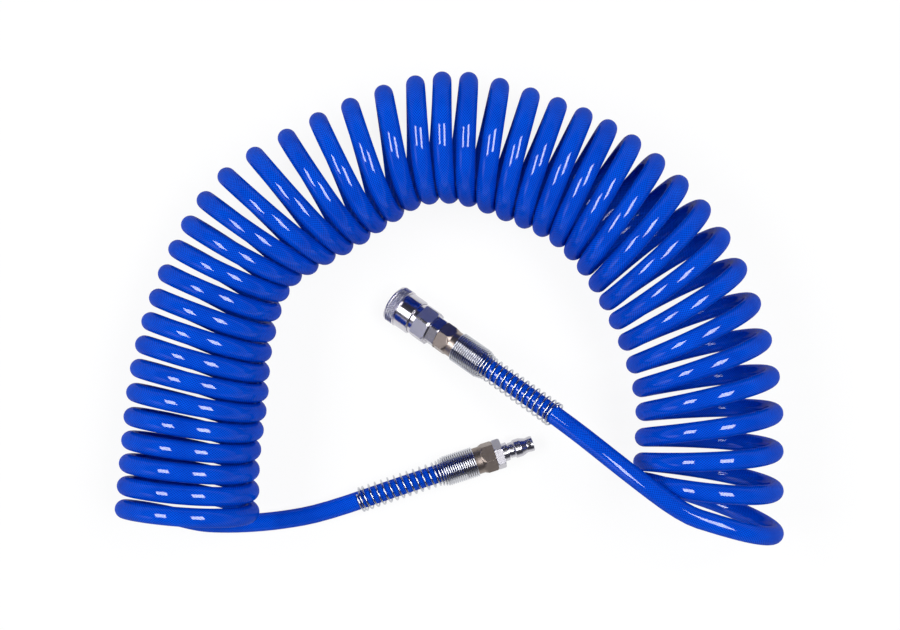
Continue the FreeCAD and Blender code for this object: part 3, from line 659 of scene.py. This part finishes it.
def hex_reach(angle, flats, turn):
    """Distance from the axis to a hexagon's side at an angle, with its corners rubbed."""
    nearest = (angle - math.radians(turn + 30)) % (math.pi / 3)
    nearest = min(nearest, math.pi / 3 - nearest)
    return min(flats / 2 / math.cos(nearest), flats / math.sqrt(3) - CORNER_RUB)


def land_angle(flats, bar):
    """Half the angle of the round strip that a bar keeps between two flats."""
    return math.pi / 6 - math.acos(flats / 2 / min(bar, flats / math.sqrt(3) - CORNER_RUB))


def fitting(name, seat, profile, flats=(), points=RING_POINTS, step=1.5, shape=None):
    """A turned part in the fitting's own frame. flats holds (from, to, across flats, turn)."""
    nose, way, up, across = seat
    rows = divided(rounded(profile, EDGE_ROUND), step)
    first = math.radians(flats[0][3]) if flats else 0.0
    angles = [first + 2 * math.pi * k / points for k in range(points)]
    corner_step = points // 6
    if flats:
        start, end, size, turn = flats[0]
        land = land_angle(size, max(reach for place, reach in profile if start <= place <= end))
        for k in range(0, points, corner_step):
            angles[k - 1], angles[k + 1] = angles[k] - land, angles[k] + land
    build = bmesh.new()
    pressed = build.verts.layers.float.new("pressed")
    rings = []
    for place, reach in rows:
        ring = []
        for angle in angles:
            out = reach
            for start, end, size, turn in flats:
                if start <= place <= end:
                    out = min(out, hex_reach(angle, size, turn))
            smooth_out = out
            if shape:
                out = shape(angle, place, out)
            spot = nose + way * place + (up * math.cos(angle) + across * math.sin(angle)) * out
            vert = build.verts.new(spot * MM)
            vert[pressed] = smooth_out - out
            ring.append(vert)
        rings.append(ring)
    for (place, reach), near, far in zip(rows, rings, rings[1:] + rings[:1]):
        milled = any(start <= place <= end and reach > size / 2 - MILLED_MARGIN for start, end, size, turn in flats)
        for k in range(points):
            face = build.faces.new((near[k], near[(k + 1) % points], far[(k + 1) % points], far[k]))
            face.smooth = True
            face.material_index = int(milled and 0 < k % corner_step < corner_step - 1)
    bmesh.ops.remove_doubles(build, verts=build.verts, dist=0.000001)
    bmesh.ops.recalc_face_normals(build, faces=build.faces)
    mesh = bpy.data.meshes.new(name)
    build.to_mesh(mesh)
    build.free()
    mesh.set_sharp_from_angle(angle=SHARP_ANGLE)
    piece = bpy.data.objects.new(name, mesh)
    bpy.context.collection.objects.link(piece)
    return piece


def dress(piece, materials, slot, body, *nodes):
    """Give a new piece its finishes, the body that it moves with and the nodes that it stands for."""
    for material in materials:
        piece.data.materials.append(material)
    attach(piece, body)
    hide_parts(*nodes)
    print(piece.name, "faces:", len(piece.data.polygons), "for", ", ".join(nodes))


# %% [markdown]
# ## The coupler's sleeve
#
# The sleeve is the part that the fingers pull back. Its front has a diamond knurl,
# which two wheels roll into the bar: two sets of V grooves that lean opposite
# ways. A bump map would leave the outline smooth, so the grooves are real. Behind
# the knurl the sleeve is a smooth band, which shows the lathe's fine rings.

# %% Sleeve with its knurl
KNURL_TEETH = 60
KNURL_DEPTH = 0.35
KNURL_PITCH = 1.25
KNURL_FROM = 1.9
KNURL_TO = 7.6
KNURL_OUTSIDE = 12.0
KNURL_FADE = 0.3
KNURL_LAND = 0.3
SLEEVE_POINTS = 480


def knurl(angle, place, out):
    """Press two sets of grooves into the outside, between the knurl's ends."""
    if not KNURL_FROM <= place <= KNURL_TO or out < KNURL_OUTSIDE:
        return out
    depth = 0.0
    for lean in (-1, 1):
        phase = angle * KNURL_TEETH / (2 * math.pi) + lean * place / (2 * KNURL_PITCH)
        depth = max(depth, abs(2 * (phase % 1.0) - 1))
    fade = min(1.0, (place - KNURL_FROM) / KNURL_FADE, (KNURL_TO - place) / KNURL_FADE)
    return out - KNURL_DEPTH * max(0.0, depth - KNURL_LAND) / (1 - KNURL_LAND) * fade


sleeve = fitting("sleeve", COUPLER, [
    (0.0, 9.95), (0.0, 10.6), (0.64, 11.755), (1.6, 12.25), (7.9, 12.25), (8.1, 11.35),
    (8.6, 11.35), (8.8, 11.65), (17.7, 11.65), (18.3, 11.05), (18.3, 10.4), (10.6, 10.4),
    (10.6, 9.05), (7.995, 9.05), (5.1, 10.208), (2.9, 10.208), (2.9, 9.05), (1.9, 9.05), (1.9, 9.95),
], points=SLEEVE_POINTS, step=0.17, shape=knurl)
dress(sleeve, [sleeve_plate], "bright_plate", "sleeve", "coupler_sleeve")

# %% [markdown]
# ## The coupler's body
#
# The body is turned from one bar: the bore that takes the plug, six holes for the
# lock balls, a collar that hides the sleeve's rear edge, and six flats for a
# spanner. The ball holes are cut out with a Boolean, each by a small cutter that
# is narrower inside, so that a ball can't fall through into the bore. The lands
# between the flats are wide here. The ring has 180 points, because a land's edge
# has to come before the next point but one, or the mesh folds and the Boolean
# gives back nothing.

# %% Body with its ball holes
BODY_POINTS = 180
BALL_AT = 7.6
BALL_HOLES = 6
HOLE_PROFILE = ((5.0, 1.9), (6.25, 1.9), (6.7, 2.05), (10.0, 2.05))
HOLE_SIDES = 32


def ball_cutter(seat):
    """One mesh with a plug for each ball hole."""
    nose, way, up, across = seat
    build = bmesh.new()
    for k in range(BALL_HOLES):
        angle = 2 * math.pi * k / BALL_HOLES
        out = up * math.cos(angle) + across * math.sin(angle)
        aside = way.cross(out)
        rings = []
        for reach, size in HOLE_PROFILE:
            centre = nose + way * BALL_AT + out * reach
            turns = [2 * math.pi * j / HOLE_SIDES for j in range(HOLE_SIDES)]
            places = [centre + (way * math.cos(t) + aside * math.sin(t)) * size for t in turns]
            rings.append([build.verts.new(place * MM) for place in places])
        for near, far in zip(rings, rings[1:]):
            for j in range(HOLE_SIDES):
                beside = (j + 1) % HOLE_SIDES
                build.faces.new((near[j], near[beside], far[beside], far[j]))
        build.faces.new(rings[0])
        build.faces.new(rings[-1])
    bmesh.ops.recalc_face_normals(build, faces=build.faces)
    mesh = bpy.data.meshes.new("ball holes")
    build.to_mesh(mesh)
    build.free()
    cutter = bpy.data.objects.new("ball holes", mesh)
    bpy.context.collection.objects.link(cutter)
    return cutter


def cut_out(piece, cutter):
    """Cut one mesh out of another for good, and remove the cutter."""
    modifier = piece.modifiers.new("holes", "BOOLEAN")
    modifier.object = cutter
    modifier.operation = "DIFFERENCE"
    modifier.solver = "EXACT"
    bpy.context.view_layer.update()
    whole = piece.evaluated_get(bpy.context.evaluated_depsgraph_get())
    mesh = bpy.data.meshes.new_from_object(whole)
    piece.modifiers.clear()
    piece.data = mesh
    mesh.set_sharp_from_angle(angle=SHARP_ANGLE)
    bpy.data.objects.remove(cutter)


body = fitting("body", COUPLER, [
    (1.0, 6.05), (0.4, 6.65), (0.4, 8.4), (0.8, 9.0), (0.95, 9.0), (0.95, 8.6), (1.85, 8.6), (1.85, 9.0),
    (17.6, 9.0), (17.6, 10.3), (21.1, 10.3), (21.1, 11.4), (21.5, 11.7), (29.8, 11.7), (30.9, 11.1),
    (30.9, 8.0), (26.6, 8.0), (26.6, 7.3), (18.0, 7.3), (18.0, 6.05), (10.2, 6.05), (10.2, 6.3),
    (5.2, 6.3), (5.2, 6.05),
], flats=((21.1, 30.9, 21.0, -4.0),), points=BODY_POINTS)
cut_out(body, ball_cutter(COUPLER))
dress(body, [coupler_plate, milled_plate], "bright_plate", "hose", "coupler_body")

# %% [markdown]
# ## Adapter, nuts and plug
#
# Behind the body comes the adapter, which screws into it and ends in a barbed
# tail. A nut draws the hose onto the barbs. The plug has the same tail and the
# same nut, with the shaped nose in front that the lock balls grip. These are
# plain profiles with six flats each.

# %% Adapter, both nuts and the plug
def barbs(start, ridges=3, length=4.667, high=4.1, low=3.75):
    """Profile of a barbed tail: slow ramps up to ridges that drop off steeply."""
    result = [(start, low)]
    for k in range(ridges):
        result += [(start + k * length + length / 4, high), (start + (k + 1) * length, low)]
    return result


def nut_profile(start):
    """A nut that is six-sided in front and turned round behind, over the hose."""
    steps = (
        (0.0, 7.4), (0.0, 9.275), (0.9, 9.815), (6.6, 9.815), (8.875, 8.45), (12.2, 8.45), (12.2, 8.4),
        (20.2, 8.4), (20.2, 5.85), (6.2, 5.85), (6.2, 7.4),
    )
    return [(start + place, reach) for place, reach in steps]


adapter = fitting("adapter", COUPLER, [
    (26.6, 4.9), (26.6, 8.0), (29.3, 8.0), (29.3, 7.0), (30.6, 7.0), (30.6, 8.0), (30.9, 8.0), (30.9, 9.275),
    (31.8, 9.6), (36.9, 9.6), (37.8, 9.275), (37.8, 7.4), (44.0, 7.4),
] + barbs(44.0) + [(58.0, 2.5), (34.0, 2.5), (34.0, 4.9)], flats=((30.9, 37.8, 17.0, -6.5),))
dress(adapter, [coupler_plate, adapter_plate], "bright_plate", "hose", "hose_adapter")

coupler_nut = fitting("coupler_nut", COUPLER, nut_profile(37.8), flats=((37.8, 47.6, 17.0, -9.0),))
dress(coupler_nut, [coupler_nut_plate, coupler_nut_plate], "nut_plate", "hose", "hose_nut_coupler")

plug_nut = fitting("plug_nut", PLUG, nut_profile(25.2), flats=((25.2, 35.0, 17.0, -11.0),))
dress(plug_nut, [plug_nut_plate, plug_nut_plate], "nut_plate", "hose", "hose_nut_plug")

plug = fitting("plug", PLUG, [
    (0.0, 3.25), (0.0, 4.6), (0.3, 4.9), (1.8, 4.9), (3.6, 4.6), (4.4, 4.6), (8.2, 5.9), (12.0, 5.9),
    (12.9, 4.95), (15.4, 4.95), (15.4, 4.5), (16.2, 4.5), (16.5, 5.85), (20.0, 5.85), (20.0, 9.275),
    (20.9, 9.815), (24.3, 9.815), (25.2, 9.275), (25.2, 7.4), (31.4, 7.4),
] + barbs(31.4) + [(45.4, 2.5), (22.0, 2.5), (22.0, 3.25)], flats=((20.0, 25.2, 17.0, 20.7),))
dress(plug, [plug_plate, plug_milled_plate], "bright_plate", "hose", "plug_body")

# %% [markdown]
# ## Spring guards
#
# Where the hose leaves a nut it would kink, so a wire is wound round it: tight
# turns that grip the nut's tail, then a cone down to the hose, then open turns
# that let it bend a little at a time. The wire is one tube on a helix whose
# centre follows the hose's own line, and whose pitch and radius change on the way.

# %% Wire guards wound on the route
GUARD_WIRE = 1.14
GUARD_START = 6.7
GUARD_POINTS = 32
WIRE_SIDES = 12
# turns, pitch at their start, pitch at their end, radius at their start, radius at their end
GUARD_RUNS = (
    (14.0, 1.38, 1.38, 9.1, 9.1),
    (3.0, 1.4, 2.2, 9.1, 7.5),
    (1.0, 2.2, 4.2, 7.5, 7.5),
    (10.5, 4.2, 4.2, 7.5, 7.5),
    (2.0, 3.0, 1.3, 7.5, 7.5),
)


def guard(name, from_end, hand):
    """Wire round the hose. from_end turns a distance from the fitting into one on the route."""
    distance, turn, steps = GUARD_START, 0.0, []
    for turns, pitch_a, pitch_b, radius_a, radius_b in GUARD_RUNS:
        count = round(turns * GUARD_POINTS)
        for k in range(count):
            t = k / count
            steps.append((distance, turn, radius_a + (radius_b - radius_a) * t))
            distance += (pitch_a + (pitch_b - pitch_a) * t) / GUARD_POINTS
            turn += 2 * math.pi / GUARD_POINTS
    line = []
    for distance, turn, reach in steps:
        point, way, side = on_route(from_end(distance * MM))
        line.append(point + (side * math.cos(turn) + way.cross(side) * math.sin(turn) * hand) * reach * MM)
    lengths = [0.0]
    for a, b in zip(line, line[1:]):
        lengths.append(lengths[-1] + (b - a).length)
    piece = tube_mesh(name, line, lengths, GUARD_WIRE / 2 * MM, WIRE_SIDES)
    bpy.context.collection.objects.link(piece)
    print(name, "ends", round(steps[-1][0], 1), "mm from the hose's end")
    return piece


plug_guard = guard("plug_guard", lambda d: d, 1)
dress(plug_guard, [wire_zinc], "spring_steel", "hose", "guard_spring_plug")
coupler_guard = guard("coupler_guard", lambda d: hose_length - d, -1)
dress(coupler_guard, [wire_zinc], "spring_steel", "hose", "guard_spring_coupler")

# %% [markdown]
# ## Springs inside the coupler
#
# One spring holds the sleeve forward over the lock balls, the other holds the
# valve shut. A spring that stayed rigid would cut into the piece that presses on
# it; each here is a helix of its own between two places on the coupler's axis,
# and it keeps its length when its joint moves.

# %% Two springs wound between two places on the coupler's axis
SPRING_WIRE = 0.8
SPRING_POINTS = 32


def pressed_spring(name, node, start, end, radius, turns):
    """Helix between two places on the coupler's axis."""
    nose, way, up, across = COUPLER
    first = start + SPRING_WIRE / 2
    line = []
    for k in range(round(turns * SPRING_POINTS) + 1):
        angle = 2 * math.pi * k / SPRING_POINTS
        place = first + (end - start - SPRING_WIRE) * k / (turns * SPRING_POINTS)
        line.append((nose + way * place + (up * math.cos(angle) + across * math.sin(angle)) * radius) * MM)
    lengths = [(b - a).length for a, b in zip(line, line[1:])]
    piece = tube_mesh(name, line, [sum(lengths[:k]) for k in range(len(line))], SPRING_WIRE / 2 * MM, WIRE_SIDES)
    bpy.context.collection.objects.link(piece)
    dress(piece, [wire_zinc], "spring_steel", "hose", node)
    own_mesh(piece)


pressed_spring("sleeve_return_spring", "sleeve_spring", 10.6, 17.6, 9.7, 4)
pressed_spring("valve_return_spring", "valve_spring", 22.2, 34.0, 4.1, 4.5)

# %% [markdown]
# ## Other parts inside the coupler
#
# The lock balls, snap ring, seals and valve already have the right shape in the
# CAD model, so they keep it and only get a finish.

# %% Finishes of the pieces that stay as they are
FINISHES = {
    "snap_ring": wire_zinc,
    "check_valve": valve_brass,
    "packing_seal": seal_rubber,
    "valve_seal": seal_rubber,
    "adapter_o_ring": seal_rubber,
}
for k in range(1, BALL_HOLES + 1):
    FINISHES[f"lock_ball_{k}"] = ball_steel
for name, material in FINISHES.items():
    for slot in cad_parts[name].material_slots:
        slot.material = material
print("kept CAD pieces:", ", ".join(FINISHES))

# %% [markdown]
# ## Floor and light
#
# The bench is a plain white sheet. Two softboxes hang left and right, high above
# it, and each puts one pale streak on every curl. The room is pale at the height
# of the bench and dark overhead, which gives the plated fittings their dark bands.
# The sheet shows itself mostly as plain white, and a part of it still takes light,
# which keeps the hose's shadow.

# %% Floor
FLOOR_HALF = 4
FLOOR_BELOW = 0.0002
SHEET_SHOWN_WHITE = 0.88
SHEET_GLOW = 1.03
floor_mesh = bpy.data.meshes.new("floor")
corners = [(x * FLOOR_HALF, y * FLOOR_HALF, 0) for x, y in ((-1, -1), (1, -1), (1, 1), (-1, 1))]
floor_mesh.from_pydata(corners, [], [(0, 1, 2, 3)])
floor = bpy.data.objects.new("floor", floor_mesh)
floor.location.z = -FLOOR_BELOW
bpy.context.collection.objects.link(floor)


def make_sheet():
    """White for the camera and for mirrors, with the shadow showing through a little."""
    material, tree, shader = new_material("white sheet", Base_Color=(0.75, 0.75, 0.75, 1), Roughness=0.7)
    glow = tree.nodes.new("ShaderNodeEmission")
    glow.inputs["Strength"].default_value = SHEET_GLOW
    rays = tree.nodes.new("ShaderNodeLightPath")
    seen = maths(tree, "ADD", rays.outputs["Is Camera Ray"], rays.outputs["Is Glossy Ray"])
    seen = maths(tree, "ADD", seen, rays.outputs["Is Transmission Ray"], clamp=True)
    mix = tree.nodes.new("ShaderNodeMixShader")
    tree.links.new(maths(tree, "MULTIPLY", seen, SHEET_SHOWN_WHITE), mix.inputs[0])
    tree.links.new(shader.outputs[0], mix.inputs[1])
    tree.links.new(glow.outputs[0], mix.inputs[2])
    tree.links.new(mix.outputs[0], tree.nodes["Material Output"].inputs["Surface"])
    return material


floor_mesh.materials.append(make_sheet())

# %% Two softboxes
SOFTBOX_SIZE = (1.15, 2.1)
SOFTBOX_POWER = 75.0
for name, place in (("left softbox", (-2.15, 0.1, 3.0)), ("right softbox", (1.25, 0.1, 3.0))):
    lamp_data = bpy.data.lights.new(name, "AREA")
    lamp_data.shape = "RECTANGLE"
    lamp_data.size, lamp_data.size_y = SOFTBOX_SIZE
    lamp_data.energy = SOFTBOX_POWER
    lamp = bpy.data.objects.new(name, lamp_data)
    lamp.location = place
    back = lamp.location.normalized()
    across = Vector((0, 1, 0)).cross(back).normalized()
    turn = Matrix((across, back.cross(across), back)).transposed().to_4x4()
    lamp.matrix_world = Matrix.Translation(lamp.location) @ turn
    bpy.context.collection.objects.link(lamp)
    print(name, "at", place)

# %% Room: pale round the bench, dark overhead
PALE_WALLS = (0.40, 0.41, 0.44, 1)
DARK_CEILING = (0.04, 0.04, 0.06, 1)
WINDOW_PALE = (0.95, 0.92, 1.0, 1)
WINDOW_WAY = (-0.847, -0.432, 0.309)
WINDOW_EDGE = 0.961
WINDOW_FADE = 0.029
WALL_TOP = 0.05
CEILING_FADE = 0.35
world = bpy.data.worlds.new("room")
world.use_nodes = True
sky = world.node_tree
look = sky.nodes.new("ShaderNodeTexCoord")
split = sky.nodes.new("ShaderNodeSeparateXYZ")
sky.links.new(look.outputs["Generated"], split.inputs[0])
over_wall = maths(sky, "SUBTRACT", split.outputs["Z"], WALL_TOP)
height = maths(sky, "DIVIDE", over_wall, CEILING_FADE, clamp=True)
dot = sky.nodes.new("ShaderNodeVectorMath")
dot.operation = "DOT_PRODUCT"
dot.inputs[1].default_value = WINDOW_WAY
sky.links.new(look.outputs["Generated"], dot.inputs[0])
inside = maths(sky, "SUBTRACT", dot.outputs["Value"], WINDOW_EDGE)
window = maths(sky, "DIVIDE", inside, WINDOW_FADE, clamp=True)
room = blend_colour(sky, height, PALE_WALLS, DARK_CEILING)
sky.links.new(blend_colour(sky, window, room, WINDOW_PALE), sky.nodes["Background"].inputs["Color"])
sky.nodes["Background"].inputs["Strength"].default_value = 1.0
bpy.context.scene.world = world
